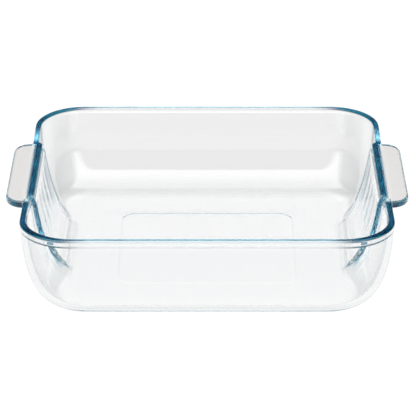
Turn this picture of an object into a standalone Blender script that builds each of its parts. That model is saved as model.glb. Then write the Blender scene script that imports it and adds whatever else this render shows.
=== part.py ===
"""Square glass roasting dish with a tab handle at each end.

The dish is one glass moulding. It is split here at its natural features into a
bowl, the rim on top of it and the two tab handles. +X runs from handle to handle,
+Y to the back and +Z up. The origin is the middle of the underside, on the surface
that the dish stands on. All sizes are in metres.
"""
import math

import bmesh
import bpy

MM = 0.001
GAP = 0.3 * MM               # between neighbouring pieces

# The whole dish
LENGTH = 229 * MM            # over the rim, without the handles
WIDTH = 210 * MM             # over the rim
HEIGHT = 58 * MM
CORNER_RADIUS = 31.4 * MM    # of the rim, seen from above
CORNER_SHRINK = 0.48         # how much smaller the radius gets for each unit of inset

# Walls and floor
LIP = 0.4 * MM               # the rim stands this far out from the wall
WALL = 4 * MM
FLOOR = 4 * MM
OUTER_BEND = 23.5 * MM       # how far in the outer wall curves on its way down
INNER_BEND = 19.5 * MM
BEND_POWER = 2.26            # 2 is an ellipse, higher is squarer
WALL_LEVELS = 11

# Finger pocket: a sloping panel in each end wall, below the handle. The wall comes in
# gently towards it, and then with a small step on each side of the panel.
PANEL_INSET = 2.6 * MM       # at the rim
PANEL_SLOPE = 0.11           # how far in for each unit down
PANEL_BEND = 17.5 * MM       # how far the panel curves in on its way down
PANEL_EXTRA = 1.2 * MM       # the panel is this much thicker than the wall
POCKET_HALF_WIDTH = 41 * MM
POCKET_STEP = 4 * MM
POCKET_STEP_HEIGHT = 2.4 * MM
POCKET_APPROACH = 70 * MM    # from the middle of the end to where the wall starts to come in

# Rim
RIM_HEIGHT = 4 * MM
RIM_ROUNDING = 1.4 * MM

# Shallow recess in the underside
RECESS_LENGTH = 114 * MM
RECESS_WIDTH = 104 * MM
RECESS_RADIUS = 10 * MM
RECESS_DEPTH = 0.5 * MM
RECESS_SLOPE = 1.5 * MM

# Tab handles
HANDLE_TIP = 126 * MM        # from the middle of the dish
HANDLE_HALF_WIDTH = 45.5 * MM
HANDLE_CORNER = 9.5 * MM
HANDLE_TOP = HEIGHT - 1.65 * MM
HANDLE_THICKNESS = 4.8 * MM
HANDLE_ROUNDING = 1.3 * MM

CORNER_STEPS = 7
STEP_STEPS = 5
APPROACH_STEPS = 4

WALL_TOP = HEIGHT - RIM_HEIGHT - GAP


def clear_scene():
    for item in list(bpy.data.objects):
        bpy.data.objects.remove(item, do_unlink=True)


def new_collection(name):
    group = bpy.data.collections.new(name)
    bpy.context.scene.collection.children.link(group)
    return group


def glass(name, colour):
    """Clear, slightly blue glass with a polished surface."""
    material = bpy.data.materials.new(name)
    material.use_nodes = True
    shader = material.node_tree.nodes["Principled BSDF"]
    shader.inputs["Base Color"].default_value = (*colour, 1)
    shader.inputs["Metallic"].default_value = 0
    shader.inputs["Roughness"].default_value = 0.02
    shader.inputs["IOR"].default_value = 1.47
    shader.inputs["Transmission Weight"].default_value = 1
    return material


def wall_curve(depth, full_depth, bend):
    """How far in a wall has curved at a depth below the rim, down to its floor."""
    share = min(max(depth / full_depth, 0), 1)
    return bend * (1 - (1 - share ** BEND_POWER) ** (1 / BEND_POWER))


def outer_inset(z):
    return LIP + wall_curve(HEIGHT - z, HEIGHT, OUTER_BEND)


def inner_inset(z):
    return LIP + WALL + wall_curve(HEIGHT - z, HEIGHT - FLOOR, INNER_BEND)


def smooth(t):
    t = min(max(t, 0), 1)
    return t * t * (3 - 2 * t)


def pocket_depth(z, inset, floor, extra):
    """How much further in the pocket's panel lies than a wall that is set in this far."""
    depth = HEIGHT - z
    panel = PANEL_INSET + PANEL_SLOPE * depth + wall_curve(depth, HEIGHT - floor, PANEL_BEND)
    return max(panel + extra - inset, 0)


def side_inset(y, pocket):
    """How much further in the end wall lies at y than away from the pocket."""
    step_height = min(POCKET_STEP_HEIGHT, pocket)
    step = 1 - smooth((abs(y) - POCKET_HALF_WIDTH) / POCKET_STEP)
    approach = 1 - smooth((abs(y) - POCKET_HALF_WIDTH) / (POCKET_APPROACH - POCKET_HALF_WIDTH))
    return step_height * step + (pocket - step_height) * approach


def side_stations():
    """Places along Y that follow the approach and the step, from outside the pocket to inside."""
    step_start = POCKET_HALF_WIDTH + POCKET_STEP
    approach = (POCKET_APPROACH - step_start) / APPROACH_STEPS
    stations = [POCKET_APPROACH - approach * i for i in range(1, APPROACH_STEPS)]
    return stations + [step_start - POCKET_STEP * i / STEP_STEPS for i in range(STEP_STEPS + 1)]


def quarter(half_length, half_width, radius, pocket):
    """Outline from the middle of a long side round one corner to the end's middle."""
    straight_x = half_length - radius
    straight_y = half_width - radius
    points = [(0, half_width), (straight_x / 2, half_width)]
    for i in range(CORNER_STEPS + 1):
        angle = math.pi / 2 * i / CORNER_STEPS
        points.append((straight_x + radius * math.sin(angle), straight_y + radius * math.cos(angle)))
    stations = side_stations()
    squeeze = min(1, 0.9 * straight_y / stations[0])
    for y in stations + [stations[-1] / 2, 0]:
        points.append((half_length - side_inset(y, pocket), y * squeeze))
    return points


def ring(half_length, half_width, radius, pocket, z):
    """A closed level outline, symmetric about both middle planes."""
    back_right = quarter(half_length, half_width, radius, pocket)
    front_right = [(x, -y) for x, y in reversed(back_right)][1:]
    right = back_right + front_right
    left = [(-x, y) for x, y in reversed(right)][1:-1]
    return [(x, y, z) for x, y in right + left]


def dish_ring(inset, z, pocket):
    radius = CORNER_RADIUS - CORNER_SHRINK * inset
    return ring(LENGTH / 2 - inset, WIDTH / 2 - inset, radius, pocket, z)


def loft(name, rings, closed, group, material):
    """Join rings of equal length with quads, and cap both ends unless it is closed."""
    shape = bmesh.new()
    loops = [[shape.verts.new(point) for point in points] for points in rings]
    pairs = list(zip(loops, loops[1:]))
    if closed:
        pairs.append((loops[-1], loops[0]))
    else:
        shape.faces.new(loops[0])
        shape.faces.new(loops[-1])
    for lower, upper in pairs:
        count = len(lower)
        for i in range(count):
            j = (i + 1) % count
            shape.faces.new((lower[i], lower[j], upper[j], upper[i]))
    bmesh.ops.recalc_face_normals(shape, faces=shape.faces)
    mesh = bpy.data.meshes.new(name)
    shape.to_mesh(mesh)
    shape.free()
    mesh.shade_smooth()
    mesh.set_sharp_from_angle(angle=math.radians(40))
    mesh.materials.append(material)
    piece = bpy.data.objects.new(name, mesh)
    group.objects.link(piece)
    return piece


def wall_heights(bottom):
    """Levels from the foot of a wall to its top, closer together in the bend."""
    heights = []
    for i in range(WALL_LEVELS):
        angle = math.pi / 2 * i / (WALL_LEVELS - 1)
        heights.append(bottom + (WALL_TOP - bottom) * (1 - math.cos(angle)))
    return heights


def make_bowl(group):
    """Floor and walls, lofted from the recess in the underside up, over and down."""
    recess = RECESS_LENGTH / 2, RECESS_WIDTH / 2, RECESS_RADIUS
    inner_recess = [size - RECESS_SLOPE for size in recess]
    rings = [ring(*inner_recess, 0, RECESS_DEPTH), ring(*recess, 0, 0)]
    for z in wall_heights(0):
        inset = outer_inset(z)
        rings.append(dish_ring(inset, z, pocket_depth(z, inset, 0, 0)))
    for z in reversed(wall_heights(FLOOR)):
        inset = inner_inset(z)
        rings.append(dish_ring(inset, z, pocket_depth(z, inset, FLOOR, WALL + PANEL_EXTRA)))
    return loft("bowl", rings, False, group, glass("bowl_glass", (0.84, 0.93, 0.95)))


def make_rim(group):
    """A band of glass with a rounded top, all the way round the mouth."""
    bottom = HEIGHT - RIM_HEIGHT
    section = [(LIP, bottom), (0, bottom + LIP)]
    for outer in (True, False):
        for i in range(4):
            angle = math.pi / 2 * (i if outer else 3 - i) / 3
            inset = RIM_ROUNDING * (1 - math.cos(angle))
            z = HEIGHT - RIM_ROUNDING * (1 - math.sin(angle))
            section.append((inset if outer else LIP + WALL - inset, z))
    section.append((LIP + WALL, bottom))
    rings = [dish_ring(inset, z, PANEL_INSET) for inset, z in section]
    return loft("rim", rings, True, group, glass("rim_glass", (0.45, 0.74, 0.86)))


def handle_root(y, z, beside_rim):
    """Where the handle's root meets the rim, or the wall below the rim."""
    if beside_rim:
        inset = side_inset(y, PANEL_INSET)
    else:
        wall = outer_inset(z)
        inset = wall + side_inset(y, pocket_depth(z, wall, 0, 0))
    return LENGTH / 2 - inset + GAP


def handle_ring(side, z, shrink, beside_rim):
    """Level outline of a tab: a root that follows the dish and two round corners."""
    half_width = HANDLE_HALF_WIDTH - shrink
    tip = HANDLE_TIP - shrink
    ys = [HANDLE_HALF_WIDTH] + [y for y in side_stations() if y < HANDLE_HALF_WIDTH] + [0]
    squeeze = half_width / HANDLE_HALF_WIDTH
    root = [(handle_root(y, z, beside_rim), y * squeeze) for y in ys]
    root += [(x, -y) for x, y in reversed(root[:-1])]
    tip_corners = []
    for i in range(CORNER_STEPS + 1):
        angle = math.pi / 2 * i / CORNER_STEPS
        x = tip - HANDLE_CORNER * (1 - math.sin(angle))
        tip_corners.append((x, -(half_width - HANDLE_CORNER * (1 - math.cos(angle)))))
    tip_corners += [(x, -y) for x, y in reversed(tip_corners)]
    return [(side * x, y, z) for x, y in root + tip_corners]


def make_handle(name, side, group):
    """A flat tab that butts against the rim, with a tongue to the wall below it."""
    bottom = HANDLE_TOP - HANDLE_THICKNESS
    below_rim = [
        handle_ring(side, bottom, HANDLE_ROUNDING, beside_rim=False),
        handle_ring(side, bottom + HANDLE_ROUNDING, 0, beside_rim=False),
        handle_ring(side, WALL_TOP, 0, beside_rim=False),
    ]
    beside_rim = [
        handle_ring(side, WALL_TOP, 0, beside_rim=True),
        handle_ring(side, HANDLE_TOP - HANDLE_ROUNDING, 0, beside_rim=True),
        handle_ring(side, HANDLE_TOP, HANDLE_ROUNDING, beside_rim=True),
    ]
    rings = below_rim + beside_rim
    return loft(name, rings, False, group, glass(name + "_glass", (0.75, 0.86, 0.9)))


clear_scene()
dish = new_collection("glass_baking_dish")
make_bowl(dish)
make_rim(dish)
make_handle("handle_left", -1, dish)
make_handle("handle_right", 1, dish)
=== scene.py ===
"""Looks of a clear glass roasting dish with a tab handle at each end.

The dish is one glass moulding, so it is one closed mesh here: a loft of level outlines
that runs from the recess in the underside up the outside, out and back over the tabs,
over the rim and down the inside to the floor. Lengths are in metres, in the frame of
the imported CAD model: +X from handle to handle, +Y to the back, +Z up.
"""
import math

import bmesh
import bpy
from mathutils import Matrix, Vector


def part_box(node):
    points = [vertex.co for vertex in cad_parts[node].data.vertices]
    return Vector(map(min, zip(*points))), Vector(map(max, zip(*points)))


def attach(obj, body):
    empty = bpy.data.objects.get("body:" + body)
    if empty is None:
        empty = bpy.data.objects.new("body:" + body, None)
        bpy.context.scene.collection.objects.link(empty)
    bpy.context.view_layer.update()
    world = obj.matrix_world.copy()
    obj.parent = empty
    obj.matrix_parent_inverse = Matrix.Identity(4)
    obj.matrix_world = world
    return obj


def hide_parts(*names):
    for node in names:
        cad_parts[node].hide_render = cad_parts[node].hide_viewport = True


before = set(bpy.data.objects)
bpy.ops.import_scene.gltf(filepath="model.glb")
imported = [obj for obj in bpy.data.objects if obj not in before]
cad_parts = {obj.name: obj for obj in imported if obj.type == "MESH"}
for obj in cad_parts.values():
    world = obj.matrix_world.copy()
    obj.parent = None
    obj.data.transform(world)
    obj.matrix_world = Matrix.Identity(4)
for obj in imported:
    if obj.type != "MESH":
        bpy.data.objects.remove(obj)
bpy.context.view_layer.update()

MM = 0.001

# ---------------------------------------------------------------- sizes from the frame
rim_low, rim_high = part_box("rim")
handle_low, handle_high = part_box("handle_right")

LENGTH = rim_high.x - rim_low.x
WIDTH = rim_high.y - rim_low.y
HEIGHT = rim_high.z
HANDLE_TIP = handle_high.x
HANDLE_HALF_WIDTH = handle_high.y
HANDLE_TOP = handle_high.z
HANDLE_BOTTOM = handle_low.z

# ---------------------------------------------------------------- shape of the glass
CORNER_RADIUS = 31.4 * MM    # of the rim, seen from above
CORNER_SHRINK = 0.48         # how much smaller the radius gets for each unit of inset
LIP = 0.4 * MM               # the rim's band stands this far out from the wall
LIP_BOTTOM = HEIGHT - 4.6 * MM
LIP_TOP = HEIGHT - 3.4 * MM
RIM_THICKNESS = 3.7 * MM
INNER_DRAFT = 0.02           # how far in for each unit down
FLOOR = 4 * MM               # thickness
OUTER_BEND = 23.5 * MM       # how far in the outer wall curves on its way down
INNER_BEND = 19 * MM
BEND_POWER = 2.26            # 2 is an ellipse, higher is squarer

PANEL_INSET = 2.6 * MM       # the finger pocket's panel, outside, at the rim
PANEL_SLOPE = 0.11           # how far in for each unit down
PANEL_BEND = 17.5 * MM       # how far the panel curves in on its way down
PANEL_THICKNESS = 3.8 * MM
PANEL_BLEND = 2.5 * MM       # rounding where the panel runs out into the wall
SWELL = 1.4 * MM             # the panel swells inwards this much just under the rim
SWELL_DROP = 5 * MM
POCKET_HALF_WIDTH = 41 * MM  # of the pocket's flat part; the step is outside it
POCKET_STEP = 4 * MM
POCKET_STEP_HEIGHT = 2.4 * MM  # the rest of the pocket's depth comes on gently
OUTER_STEP_HEIGHT = 0.7 * MM   # outside, below the tab
OUTER_STEP_DROP = 12 * MM
POCKET_APPROACH = 70 * MM    # from the middle of the end to where the wall starts to come in
POCKET_FOOT = 0.66, 0.93     # shares of the depth; the flat part narrows and the step flattens
POCKET_FOOT_NARROWING = 5 * MM
POCKET_FOOT_FLATTENING = 0.8  # share of the step's height that is lost at the foot

FLUTE_PITCH = 15 * MM        # grip flutes on the outside of the pocket's panel
FLUTE_DEPTH = 0.16 * MM
FLUTE_HALF_WIDTH = 34 * MM   # they fade out towards the pocket's sides
FLUTE_FADE = 4 * MM
FLUTE_TOP_FADE = 10 * MM
FLUTE_BOTTOM = 19 * MM
FLUTE_BOTTOM_FADE = 12 * MM

RIM_ROUNDING = 1.5 * MM      # outside
INNER_RIM_ROUNDING = 1 * MM
RIM_EDGE = 0.5 * MM          # the rim's dark colour fades out this far below its rounding
RECESS_LENGTH = 114 * MM     # shallow recess in the underside
RECESS_WIDTH = 104 * MM
RECESS_RADIUS = 10 * MM
RECESS_DEPTH = 0.2 * MM
RECESS_SLOPE = 1.5 * MM

TAB_FLAT = 33 * MM           # the tab's tip is straight up to here
TAB_FILLET = 1.8 * MM        # between a tab's sides and the wall, seen from above
TAB_ROUNDING = 1.6 * MM      # of the tab's edges
TAB_UNDER_FILLET = 2 * MM
TAB_GROOVE_WIDTH = 2.8 * MM  # hollow between the rim and the tab's top
TAB_GROOVE_HEIGHT = 0.75 * MM
TAB_START = HANDLE_HALF_WIDTH + TAB_FILLET
TAB_FILLET_SHARE = 0.15      # of the stations round a tab's end
SIDE_START = 68 * MM         # where an end wall's stations start
SIDE_FILL = 0.95             # share of an end wall's straight stretch that they may take up
FLAT_FADE = 20 * MM          # the pockets' outline is lost this far in from a wall's foot
FOOT_STEP = 1 * MM           # from a wall's foot to the next ring

# ---------------------------------------------------------------- mesh density
LONG_SIDE_STEPS = 14
CORNER_STEPS = 22
APPROACH_STEPS = 20
TAB_END_STEPS = 30
TAB_MIDDLE_STEPS = 40
WALL_STEPS = 26
FACE_STEPS = 4
ROUND_STEPS = 6
QUARTER_TURN = [math.pi / 2 * i / ROUND_STEPS for i in range(ROUND_STEPS + 1)]


def smooth(t):
    t = min(max(t, 0), 1)
    return t * t * (3 - 2 * t)


def rise(value, start, end):
    """0 at start and before, 1 at end and after. A start above the end falls instead."""
    return smooth((value - start) / (end - start))


def near(value, middle, inner, outer):
    """1 within inner of the middle, 0 beyond outer."""
    return rise(abs(value - middle), outer, inner)


def mix(a, b, share):
    return a + (b - a) * share


def smooth_max(a, b, blend):
    """The larger of two lengths, with the corner between them rounded off."""
    h = max(blend - abs(a - b), 0) / blend
    return max(a, b) + h * h * blend / 4


# ---------------------------------------------------------------- insets from the rim's outline
def wall_curve(depth, full_depth, bend):
    """How far in a wall has curved at a depth below the rim, down to its floor."""
    share = min(max(depth / full_depth, 0), 1)
    return bend * (1 - (1 - share ** BEND_POWER) ** (1 / BEND_POWER))


def outer_inset(z):
    lip = LIP * rise(z, LIP_TOP, LIP_BOTTOM)
    return lip + wall_curve(HEIGHT - z, HEIGHT, OUTER_BEND)


def inner_inset(z):
    depth = HEIGHT - z
    return RIM_THICKNESS + INNER_DRAFT * depth + wall_curve(depth, HEIGHT - FLOOR, INNER_BEND)


def panel_inset(depth, full_depth):
    return PANEL_INSET + PANEL_SLOPE * depth + wall_curve(depth, full_depth, PANEL_BEND)


def pocket(y, depth_share, full_inset, step_height):
    """How far in the pocket's panel is at y: a gentle approach along the wall, then a step."""
    foot = rise(depth_share, *POCKET_FOOT)
    edge = POCKET_HALF_WIDTH - foot * POCKET_FOOT_NARROWING
    step = rise(abs(y), POCKET_HALF_WIDTH + POCKET_STEP, edge)
    approach = rise(abs(y), POCKET_APPROACH, edge)
    step_height = min(step_height, full_inset) * (1 - POCKET_FOOT_FLATTENING * foot)
    return step_height * step + (full_inset - step_height) * approach


def flute(y, z):
    """How far a grip flute cuts into the pocket's panel from outside."""
    across = rise(abs(y), FLUTE_HALF_WIDTH, FLUTE_HALF_WIDTH - FLUTE_FADE)
    above = rise(z, FLUTE_BOTTOM, FLUTE_BOTTOM + FLUTE_BOTTOM_FADE)
    below = rise(z, HANDLE_BOTTOM, HANDLE_BOTTOM - FLUTE_TOP_FADE)
    wave = 0.5 - 0.5 * math.cos(2 * math.pi * y / FLUTE_PITCH)
    return FLUTE_DEPTH * across * above * below * wave


def outer_pocket(y, z):
    """How much further in than the wall the outside of the end wall is at y."""
    depth = HEIGHT - z
    wall = outer_inset(z)
    panel = smooth_max(wall, panel_inset(depth, HEIGHT), PANEL_BLEND)
    step_height = mix(POCKET_STEP_HEIGHT, OUTER_STEP_HEIGHT, smooth(depth / OUTER_STEP_DROP))
    return pocket(y, depth / HEIGHT, panel - wall, step_height) + flute(y, z)


def inner_pocket(y, z):
    depth = HEIGHT - z
    wall = inner_inset(z)
    swell = SWELL * smooth(depth / SWELL_DROP)
    panel = panel_inset(depth, HEIGHT - FLOOR) + PANEL_THICKNESS + swell
    panel = smooth_max(wall, panel, PANEL_BLEND)
    return pocket(y, depth / (HEIGHT - FLOOR), panel - wall, POCKET_STEP_HEIGHT)


def no_pocket(y, z):
    return 0


# ---------------------------------------------------------------- stations along an outline
def quarter_stations():
    """Places from the middle of the back round a corner to the middle of the right end."""
    stations = [("long", i / LONG_SIDE_STEPS) for i in range(LONG_SIDE_STEPS)]
    stations += [("corner", math.pi / 2 * i / CORNER_STEPS) for i in range(CORNER_STEPS + 1)]
    stretches = [
        (SIDE_START, TAB_START, APPROACH_STEPS),
        (TAB_START, TAB_FLAT, TAB_END_STEPS),
        (TAB_FLAT, 0, TAB_MIDDLE_STEPS),
    ]
    for start, end, steps in stretches:
        stations += [("side", mix(start, end, i / steps)) for i in range(steps)]
    stations.append(("side", 0))
    return stations


STATIONS = quarter_stations()


def wall_point(station, inset, side_inset, z):
    """Where a station lies on an outline that is set in from the rim's outline."""
    radius = CORNER_RADIUS - CORNER_SHRINK * inset
    return outline_point(station, LENGTH / 2 - inset, WIDTH / 2 - inset, radius, side_inset, z)


def outline_point(station, half_length, half_width, radius, side_inset, z):
    kind, place = station
    straight_x = half_length - radius
    straight_y = half_width - radius
    if kind == "long":
        return place * straight_x, half_width
    if kind == "corner":
        return straight_x + radius * math.sin(place), straight_y + radius * math.cos(place)
    squeeze = min(1, SIDE_FILL * straight_y / SIDE_START)
    return half_length - side_inset(place, z), place * squeeze


def tab_share(y):
    """How far round a tab's end a place is, from 0 on the wall to 1 on the tab's straight tip."""
    return (TAB_START - y) / (TAB_START - TAB_FLAT)


def tab_outline(y, z):
    """Point and outward normal of the tab's outline that goes with a place on the wall."""
    if y <= TAB_FLAT:
        return Vector((HANDLE_TIP, y)), Vector((1, 0))
    root = LENGTH / 2 - outer_inset(z) - outer_pocket(TAB_START, z) + TAB_FILLET
    share = tab_share(y)
    if share < TAB_FILLET_SHARE:
        angle = math.pi / 2 * share / TAB_FILLET_SHARE
        normal = Vector((math.cos(angle), math.sin(angle)))
        return Vector((root, TAB_START)) - TAB_FILLET * normal, normal
    angle = math.pi / 2 * (1 - share) / (1 - TAB_FILLET_SHARE)
    reach, spread = HANDLE_TIP - root, HANDLE_HALF_WIDTH - TAB_FLAT
    point = Vector((root + reach * math.cos(angle), TAB_FLAT + spread * math.sin(angle)))
    normal = Vector((math.cos(angle) / reach, math.sin(angle) / spread)).normalized()
    return point, normal


def tab_point(station, wall_z, tab_z, reach, rounding):
    """A point on the wall beside a tab. On the tab, it lies reach of the way out from the wall."""
    kind, place = station
    if kind != "side" or place > TAB_START:
        x, y = wall_point(station, outer_inset(wall_z), outer_pocket, wall_z)
        return x, y, wall_z
    on_tab = smooth(tab_share(place) / TAB_FILLET_SHARE)
    z = mix(wall_z, tab_z, on_tab)
    wall = Vector(wall_point(station, outer_inset(z), outer_pocket, z))
    target, normal = tab_outline(place, z)
    point = mix(wall, target - normal * rounding * on_tab, reach)
    return point.x, point.y, z


# ---------------------------------------------------------------- rings, from below to inside
def wall_ring(inset, side_inset, z):
    """A quarter of a level ring on a wall."""
    return [(*wall_point(station, inset, side_inset, z), z) for station in STATIONS]


def full_ring(quarter):
    """Mirrors a back right quarter of an outline into a closed ring."""
    right = quarter + [(x, -y, z) for x, y, z in reversed(quarter)][1:]
    left = [(-x, y, z) for x, y, z in reversed(right)][1:-1]
    return right + left


def recess_rings():
    """The flat recess in the underside, with one ring on the flat, and the slope round it."""
    rings = []
    for share in [-1] + [i / ROUND_STEPS for i in range(ROUND_STEPS + 1)]:
        shrink = RECESS_SLOPE * (1 - share)
        z = RECESS_DEPTH * (1 - smooth(share))
        size = RECESS_LENGTH / 2 - shrink, RECESS_WIDTH / 2 - shrink, RECESS_RADIUS - shrink
        rings.append([(*outline_point(station, *size, no_pocket, z), z) for station in STATIONS])
    return rings


def flat_rings(inset, steps, side_inset, z):
    """Level rings that step in from a wall's foot, and lose its pockets on the way."""
    rings = []
    for step in steps:
        kept = 1 - smooth(step / FLAT_FADE)
        rings.append(wall_ring(inset + step, lambda y, z: side_inset(y, z) * kept, z))
    return rings


def wall_heights(foot, top):
    """Levels from a wall's foot up to its top, evenly spread along its bend."""
    full = HEIGHT - foot
    top_angle = math.asin(((HEIGHT - top) / full) ** (BEND_POWER / 2))
    angles = [mix(math.pi / 2, top_angle, i / WALL_STEPS) for i in range(WALL_STEPS + 1)]
    return [HEIGHT - full * math.sin(angle) ** (2 / BEND_POWER) for angle in angles]


def outer_wall_rings(top):
    return [wall_ring(outer_inset(z), outer_pocket, z) for z in wall_heights(0, top)]


def inner_wall_rings(top):
    heights = wall_heights(FLOOR, top)
    heights.insert(-1, top - RIM_EDGE)
    return [wall_ring(inner_inset(z), inner_pocket, z) for z in reversed(heights)]


def tab_steps():
    """(z, share of the way out, rounding) over a tab, from its under fillet to its groove."""
    full_reach = HANDLE_TIP - (LENGTH / 2 - PANEL_INSET)
    under_start = TAB_UNDER_FILLET / full_reach
    top_end = TAB_GROOVE_WIDTH / full_reach
    steps = []
    for angle in QUARTER_TURN:
        z = HANDLE_BOTTOM - TAB_UNDER_FILLET * (1 - math.sin(angle))
        steps.append((z, under_start * (1 - math.cos(angle)), TAB_ROUNDING))
    for i in range(1, FACE_STEPS):
        steps.append((HANDLE_BOTTOM, mix(under_start, 1, i / FACE_STEPS), TAB_ROUNDING))
    for angle in QUARTER_TURN:
        z = HANDLE_BOTTOM + TAB_ROUNDING * (1 - math.cos(angle))
        steps.append((z, 1, TAB_ROUNDING * (1 - math.sin(angle))))
    for angle in QUARTER_TURN:
        z = HANDLE_TOP - TAB_ROUNDING * (1 - math.sin(angle))
        steps.append((z, 1, TAB_ROUNDING * (1 - math.cos(angle))))
    for i in range(1, FACE_STEPS):
        steps.append((HANDLE_TOP, mix(1, top_end, i / FACE_STEPS), TAB_ROUNDING))
    for angle in reversed(QUARTER_TURN):
        z = HANDLE_TOP + TAB_GROOVE_HEIGHT * (1 - math.sin(angle))
        steps.append((z, top_end * (1 - math.cos(angle)), TAB_ROUNDING))
    return steps


def tab_rings(bottom, top):
    """Rings that climb the wall from bottom to top, by way of the tab where there is one."""
    steps = tab_steps()
    rings = []
    for i, (tab_z, reach, rounding) in enumerate(steps):
        wall_z = mix(bottom, top, i / (len(steps) - 1))
        rings.append([tab_point(station, wall_z, tab_z, reach, rounding) for station in STATIONS])
    return rings


def rim_rings():
    """Over the rim: a quarter round outside and a quarter round inside."""
    rings = []
    groove_top = HANDLE_TOP + TAB_GROOVE_HEIGHT
    for angle in QUARTER_TURN[1:]:
        inset = RIM_ROUNDING * (1 - math.cos(angle))
        wall_z = HEIGHT - RIM_ROUNDING * (1 - math.sin(angle))
        tab_z = mix(groove_top, HEIGHT, math.sin(angle))
        ring = []
        for station in STATIONS:
            kind, place = station
            share = tab_share(place) if kind == "side" else 0
            z = mix(wall_z, tab_z, smooth(share / TAB_FILLET_SHARE))
            ring.append((*wall_point(station, inset, outer_pocket, z), z))
        rings.append(ring)
    for angle in reversed(QUARTER_TURN[1:]):
        z = HEIGHT - INNER_RIM_ROUNDING * (1 - math.sin(angle))
        inset = inner_inset(z) - INNER_RIM_ROUNDING * (1 - math.cos(angle))
        rings.append(wall_ring(inset, inner_pocket, z))
    return rings


def dish_rings():
    tab_bottom = HANDLE_BOTTOM - TAB_UNDER_FILLET
    band_top = HEIGHT - RIM_ROUNDING
    underside_steps = [FLAT_FADE, FOOT_STEP]
    floor_steps = [FOOT_STEP, FLAT_FADE / 2, FLAT_FADE, 2 * FLAT_FADE]
    rings = recess_rings()
    rings += flat_rings(outer_inset(0), underside_steps, outer_pocket, 0)
    rings += outer_wall_rings(tab_bottom)[:-1]
    rings += tab_rings(tab_bottom, band_top)
    rings += rim_rings()
    rings += inner_wall_rings(HEIGHT - INNER_RIM_ROUNDING)
    rings += flat_rings(inner_inset(FLOOR), floor_steps, inner_pocket, FLOOR)
    return [full_ring(ring) for ring in rings]


def make_dish(material):
    shape = bmesh.new()
    loops = [[shape.verts.new(point) for point in ring] for ring in dish_rings()]
    shape.faces.new(loops[0])
    shape.faces.new(loops[-1])
    for lower, upper in zip(loops, loops[1:]):
        count = len(lower)
        for i in range(count):
            j = (i + 1) % count
            shape.faces.new((lower[i], lower[j], upper[j], upper[i]))
    bmesh.ops.recalc_face_normals(shape, faces=shape.faces)
    mesh = bpy.data.meshes.new("glass_dish")
    shape.to_mesh(mesh)
    shape.free()
    mesh.shade_smooth()
    paint_edges(mesh)
    mesh.materials.append(material)
    dish = bpy.data.objects.new("glass_dish", mesh)
    bpy.context.scene.collection.objects.link(dish)
    return dish


# ---------------------------------------------------------------- shader nodes
WHITE = (1, 1, 1, 1)


def math_node(tree, operation, *values):
    node = tree.nodes.new("ShaderNodeMath")
    node.operation = operation
    for socket, value in zip(node.inputs, values):
        tree.links.new(value, socket)
    return node.outputs["Value"]


def product(tree, first, *others):
    for other in others:
        first = math_node(tree, "MULTIPLY", first, other)
    return first


def mix_node(tree, blend, share, first, second):
    """Mixes two colours. Each value is a socket to link, or what to set directly."""
    node = tree.nodes.new("ShaderNodeMix")
    node.data_type = "RGBA"
    node.blend_type = blend
    sockets = {socket.identifier: socket for socket in node.inputs}
    for name, value in (("Factor_Float", share), ("A_Color", first), ("B_Color", second)):
        if isinstance(value, (int, float, tuple)):
            sockets[name].default_value = value
        else:
            tree.links.new(value, sockets[name])
    return next(socket for socket in node.outputs if socket.identifier == "Result_Color")


def ramp_node(tree, value, start, end, low=0, high=1):
    """low before start, high after end, and a smooth step between."""
    node = tree.nodes.new("ShaderNodeMapRange")
    node.interpolation_type = "SMOOTHSTEP"
    tree.links.new(value, node.inputs["Value"])
    for name, number in (("From Min", start), ("From Max", end), ("To Min", low), ("To Max", high)):
        node.inputs[name].default_value = number
    return node.outputs["Result"]


def fade_node(tree, value, start, end):
    """1 before start, 0 after end, and a smooth step between."""
    return ramp_node(tree, value, start, end, 1, 0)


def axes_of(tree, output):
    """The three parts of a texture coordinate."""
    coordinates = tree.nodes.new("ShaderNodeTexCoord")
    split = tree.nodes.new("ShaderNodeSeparateXYZ")
    tree.links.new(coordinates.outputs[output], split.inputs["Vector"])
    return split.outputs["X"], split.outputs["Y"], split.outputs["Z"]


# ---------------------------------------------------------------- glass
GLASS_IOR = 1.47
DEEP_TINT = (0.45, 0.74, 0.8, 1)   # what passes after a long way through the glass
DEEP_TINT_DENSITY = 6              # per metre
GRAZING_SHADE = (0.16, 0.2, 0.25, 1)  # painted shade where the glass is seen edge on
GRAZING_START = 0.72               # of the way from face on to edge on

# Colours painted on the glass, the blue of its edges with painted shade and painted highlights, and
# where each one sets in: it goes from none to full between two places.
CLEAR = Vector((1, 1, 1))
# Painted shade in the dish's corners.
CORNER_SHADE = Vector((0.87, 0.88, 0.88))
CORNER_X = 85 * MM, 105 * MM
CORNER_Y = 50 * MM, 75 * MM

HEEL_SHADE = Vector((0.7, 0.73, 0.72))  # painted shade at the outer wall's foot, between underside and wall
HEEL_TOP = 12 * MM, 3 * MM
HEEL_FROM_UNDERSIDE = -0.97, -0.87     # of the normal's z
HEEL_TO_INSIDE = 0.2, 0

# Painted shade on the tabs.
TAB_SHADE = Vector((0.9, 0.88, 0.86))
BEYOND_RIM = LENGTH / 2 - 0.2 * MM, LENGTH / 2 + 0.8 * MM  # along x, out on the tabs
TAB_END_TURN = 0.3, 0.8                # of the normal's y, at a tab's two ends

RIM_CORE = Vector((0.0005, 0.055, 0.13))   # top of the rim at the dish's ends: the blue of the glass's edge, darkened with painted shade
RIM_SIDE = Vector((0.0003, 0.032, 0.07))   # sides of the rim at the ends, and the tabs' ends: blue darkened with painted shade
BACK_RIM = Vector((0.8, 0.83, 0.86))       # the rim's long sides, at the back and at the front: light blue with painted shade
FRONT_RIM = Vector((0.6, 0.74, 0.8))
ENDS_X = 70 * MM, 90 * MM              # where the rim's long sides give way to its ends
RIM_Z = HEIGHT - 1.6 * MM, HEIGHT - 1 * MM
RIM_TOP_TURN = 0.6, 0.95               # of the normal's z
RIM_FRONT_Y = 0, -50 * MM

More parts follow.
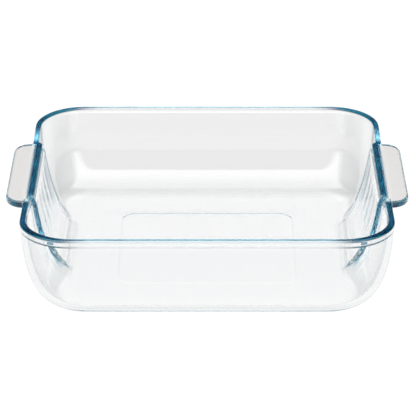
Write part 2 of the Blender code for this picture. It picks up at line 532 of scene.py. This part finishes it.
RIM_HIGHLIGHT = Vector((0.5, 0.8, 0.9))     # painted highlight where light escapes from the rim at the ends
BACK_HIGHLIGHT = 55.5 * MM, 4 * MM, 12 * MM     # middle, inner and outer reach along y
FRONT_HIGHLIGHT = -44 * MM, 2 * MM, 6 * MM

# A thin painted dark line of shade along the lip's lower edge, at the front and round the ends.
FRONT_LIP = LIP_BOTTOM, 0.25 * MM, 0.75 * MM    # middle, inner and outer reach along z
FRONT_LIP_Y = -TAB_START, -TAB_START - 2 * MM
FRONT_LIP_PAINT = 0.22                 # on the long side; it is full at the ends
# Painted shade on the lip along the back.
BACK_LIP_SHADE = Vector((0.86, 0.86, 0.87))
BACK_LIP = (LIP_BOTTOM + LIP_TOP) / 2, 0.6 * MM, 1.2 * MM
BACK_LIP_Y = 90 * MM, 95 * MM

STEP_TINT_AND_SHADE = Vector((0.02, 0.15, 0.27))     # the pocket's steps, inside; this and the colour at their foot below are blue with painted shade
STEP_FOOT_TINT_AND_SHADE = Vector((0.15, 0.46, 0.6))
STEP_LINE = POCKET_HALF_WIDTH + POCKET_STEP / 3, 0.9 * MM, 2.7 * MM   # along y
STEP_X = 80 * MM, 88 * MM
STEP_Z = 7 * MM, 13 * MM
STEP_FOOT_Z = 24 * MM, 32 * MM
INSIDE_TURN = 0, 0.1                   # of how far the normal faces the middle of the dish


def rim_colour(y, turn):
    """The rim's colour at the dish's ends: blue darkened with painted shade, with two painted
    highlights.
    """
    colour = RIM_SIDE.lerp(RIM_CORE, rise(turn, *RIM_TOP_TURN))
    return colour.lerp(RIM_HIGHLIGHT, max(near(y, *BACK_HIGHLIGHT), near(y, *FRONT_HIGHLIGHT)))


def edge_tint_and_painted_light(point, normal):
    """Painted colour: the blue of light that takes the long way through an edge, with painted shade
    and painted highlights; clear elsewhere.
    """
    x, y, z = abs(point.x), abs(point.y), point.z
    inside = rise(-(normal.x * point.x / LENGTH + normal.y * point.y / WIDTH), *INSIDE_TURN)
    at_ends = rise(x, *ENDS_X)
    beyond_rim = rise(x, *BEYOND_RIM)
    corner = rise(x, *CORNER_X) * rise(y, *CORNER_Y)
    heel_shade = rise(z, *HEEL_TOP) * rise(normal.z, *HEEL_FROM_UNDERSIDE) * rise(normal.z, *HEEL_TO_INSIDE)
    back_lip_shade = near(z, *BACK_LIP) * rise(point.y, *BACK_LIP_Y) * (1 - inside)
    front_lip_shade = near(z, *FRONT_LIP) * rise(point.y, *FRONT_LIP_Y) * (1 - inside)
    front_lip_shade *= mix(FRONT_LIP_PAINT, 1, at_ends)
    on_step = near(y, *STEP_LINE) * rise(x, *STEP_X) * rise(z, *STEP_Z) * inside
    on_rim = rise(z, *RIM_Z) * (1 - beyond_rim)
    tab_end = beyond_rim * rise(abs(normal.y), *TAB_END_TURN)

    step_tint_and_shade = STEP_FOOT_TINT_AND_SHADE.lerp(STEP_TINT_AND_SHADE, rise(z, *STEP_FOOT_Z))
    long_rim = BACK_RIM.lerp(FRONT_RIM, rise(point.y, *RIM_FRONT_Y))
    rim = long_rim.lerp(rim_colour(point.y, normal.z), at_ends)

    # Painted shade in the corners, at the heel, on the lip, on the tabs and along the steps; the rim
    # is blue with painted shade and painted highlights.
    colour = CLEAR.lerp(CORNER_SHADE, corner)
    colour = colour.lerp(HEEL_SHADE, heel_shade)
    colour = colour.lerp(BACK_LIP_SHADE, back_lip_shade)
    colour = colour.lerp(TAB_SHADE, beyond_rim)
    colour = colour.lerp(step_tint_and_shade, on_step)
    colour = colour.lerp(rim, on_rim)
    return colour.lerp(RIM_SIDE, max(tab_end, front_lip_shade))


def paint_edges(mesh):
    # Stores each vertex's painted colour: blue edges, painted shade and painted highlights.
    colours = mesh.color_attributes.new("edge_tint_and_painted_light", "FLOAT_COLOR", "POINT")
    for vertex, value in zip(mesh.vertices, colours.data):
        value.color = (*edge_tint_and_painted_light(vertex.co, vertex.normal), 1)


def make_glass():
    """Clear glass that turns blue over a long way through it, with painted shade where it is edge on,
    and the vertex paint (blue edges, painted shade, painted highlights) as its base colour.
    """
    material = bpy.data.materials.new("clear_glass")
    material.use_nodes = True
    tree = material.node_tree
    shader = tree.nodes["Principled BSDF"]
    shader.inputs["Roughness"].default_value = 0
    shader.inputs["IOR"].default_value = GLASS_IOR
    shader.inputs["Transmission Weight"].default_value = 1
    edge = tree.nodes.new("ShaderNodeAttribute")
    edge.attribute_name = "edge_tint_and_painted_light"
    layer = tree.nodes.new("ShaderNodeLayerWeight")
    # Painted shade: the colour darkens where the glass is seen edge on.
    edge_on = ramp_node(tree, layer.outputs["Facing"], GRAZING_START, 1)
    grazing_shade = mix_node(tree, "MIX", edge_on, WHITE, GRAZING_SHADE)
    tint = mix_node(tree, "MULTIPLY", 1, edge.outputs["Color"], grazing_shade)
    tree.links.new(tint, shader.inputs["Base Color"])
    absorption = tree.nodes.new("ShaderNodeVolumeAbsorption")
    absorption.inputs["Color"].default_value = DEEP_TINT
    absorption.inputs["Density"].default_value = DEEP_TINT_DENSITY
    output = tree.nodes["Material Output"]
    tree.links.new(absorption.outputs["Volume"], output.inputs["Volume"])
    return material


# ---------------------------------------------------------------- studio
TABLE_WHITE = (1.08, 1.065, 1.06, 1)
TABLE_SHADE = (0.875, 0.865, 0.865, 1)   # in the soft shade behind the dish
TABLE_SIZE = 6
TABLE_DROP = 0.2 * MM                    # below the dish, so that the two don't touch
SHADE_SIDE = 105 * MM, 128 * MM          # the shade fades out between these
SHADE_START = 74 * MM, 87 * MM
SHADE_END = 228 * MM, 243 * MM

# Cards round the dish. Each edge is soft, between two shares of the world's x, y or z direction.
SOFTBOX_WHITE = (2.8, 2.8, 2.8, 1)       # from in front, above the camera, to behind the zenith
SOFTBOX_SIDE = 0.62, 0.7
SOFTBOX_FRONT = -0.92, -0.905
SOFTBOX_BACK = 0.18, 0.24
SOFTBOX_BOTTOM = 0.02, 0.1
ROOM_BLUE = (0.02, 0.06, 0.11, 1)
FRONT_GREY = (0.3, 0.36, 0.42, 1)        # low in front
FRONT_CARD = -0.9, -0.6
FRONT_CARD_SIDE = 0.3, 0.6
BACK_GREY = (0.15, 0.19, 0.23, 1)        # narrow, behind
BACK_CARD = 0.7, 0.8
BACK_CARD_SIDE = 0.12, 0.25
BACK_CARD_BOTTOM = 0.26, 0.33
BACK_CARD_TOP = 0.52, 0.6
HORIZON = -0.02, 0.02

# Light that travels along inside the rim reflects very many times before it gets out.
LIGHT_BOUNCES = 160


def make_floor():
    """A plain white table, lit evenly, with a soft shade behind the dish."""
    bpy.ops.mesh.primitive_plane_add(size=TABLE_SIZE, location=(0, 0, -TABLE_DROP))
    floor = bpy.context.object
    floor.name = "floor"
    material = bpy.data.materials.new("white_table")
    material.use_nodes = True
    tree = material.node_tree
    tree.nodes.clear()
    x, y, _ = axes_of(tree, "Object")
    side = math_node(tree, "ABSOLUTE", x)
    across = fade_node(tree, side, *SHADE_SIDE)
    start = ramp_node(tree, y, *SHADE_START)
    end = fade_node(tree, y, *SHADE_END)
    shade = product(tree, across, start, end)
    colour = mix_node(tree, "MIX", shade, TABLE_WHITE, TABLE_SHADE)
    emission = tree.nodes.new("ShaderNodeEmission")
    tree.links.new(colour, emission.inputs["Color"])
    output = tree.nodes.new("ShaderNodeOutputMaterial")
    tree.links.new(emission.outputs["Emission"], output.inputs["Surface"])
    floor.data.materials.append(material)


def make_world():
    """A softbox overhead and two grey cards, in a dark blue room that is white below the horizon."""
    world = bpy.data.worlds.new("studio")
    bpy.context.scene.world = world
    world.use_nodes = True
    tree = world.node_tree
    x, y, z = axes_of(tree, "Generated")
    side = math_node(tree, "ABSOLUTE", x)

    front_y = fade_node(tree, y, *FRONT_CARD)
    front_side = fade_node(tree, side, *FRONT_CARD_SIDE)
    front = product(tree, front_y, front_side)

    back_y = ramp_node(tree, y, *BACK_CARD)
    back_side = fade_node(tree, side, *BACK_CARD_SIDE)
    back_bottom = ramp_node(tree, z, *BACK_CARD_BOTTOM)
    back_top = fade_node(tree, z, *BACK_CARD_TOP)
    back = product(tree, back_y, back_side, back_bottom, back_top)

    softbox_side = fade_node(tree, side, *SOFTBOX_SIDE)
    softbox_front = ramp_node(tree, y, *SOFTBOX_FRONT)
    softbox_back = fade_node(tree, y, *SOFTBOX_BACK)
    softbox_bottom = ramp_node(tree, z, *SOFTBOX_BOTTOM)
    softbox = product(tree, softbox_side, softbox_front, softbox_back, softbox_bottom)

    colour = mix_node(tree, "MIX", front, ROOM_BLUE, FRONT_GREY)
    colour = mix_node(tree, "MIX", back, colour, BACK_GREY)
    colour = mix_node(tree, "MIX", fade_node(tree, z, *HORIZON), colour, WHITE)
    colour = mix_node(tree, "MIX", softbox, colour, SOFTBOX_WHITE)
    tree.links.new(colour, tree.nodes["Background"].inputs["Color"])


# ---------------------------------------------------------------- camera
CAMERA_ELEVATION = math.radians(25.15)
CAMERA_DISTANCE = 1479.6 * MM
CAMERA_AIM = Vector((0.5 * MM, 0, 30.7 * MM))
SENSOR_WIDTH = 36            # in millimetres, as the focal length is
FOCAL_LENGTH = 198.95192
NEAREST = 0.05
FARTHEST = 50


def make_camera():
    data = bpy.data.cameras.new("camera")
    data.sensor_width = SENSOR_WIDTH
    data.lens = FOCAL_LENGTH
    data.clip_start = NEAREST
    data.clip_end = FARTHEST
    camera = bpy.data.objects.new("camera", data)
    back = Vector((0, -math.cos(CAMERA_ELEVATION), math.sin(CAMERA_ELEVATION)))
    camera.location = CAMERA_AIM + back * CAMERA_DISTANCE
    camera.rotation_mode = "QUATERNION"
    camera.rotation_quaternion = (-back).to_track_quat("-Z", "Y")
    bpy.context.scene.collection.objects.link(camera)
    bpy.context.scene.camera = camera


dish = make_dish(make_glass())
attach(dish, "root")
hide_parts("bowl", "rim", "handle_left", "handle_right")

make_floor()
make_world()
make_camera()
scene = bpy.context.scene
scene.view_settings.view_transform = "Standard"
scene.cycles.max_bounces = LIGHT_BOUNCES
scene.cycles.transmission_bounces = LIGHT_BOUNCES
scene.cycles.glossy_bounces = LIGHT_BOUNCES
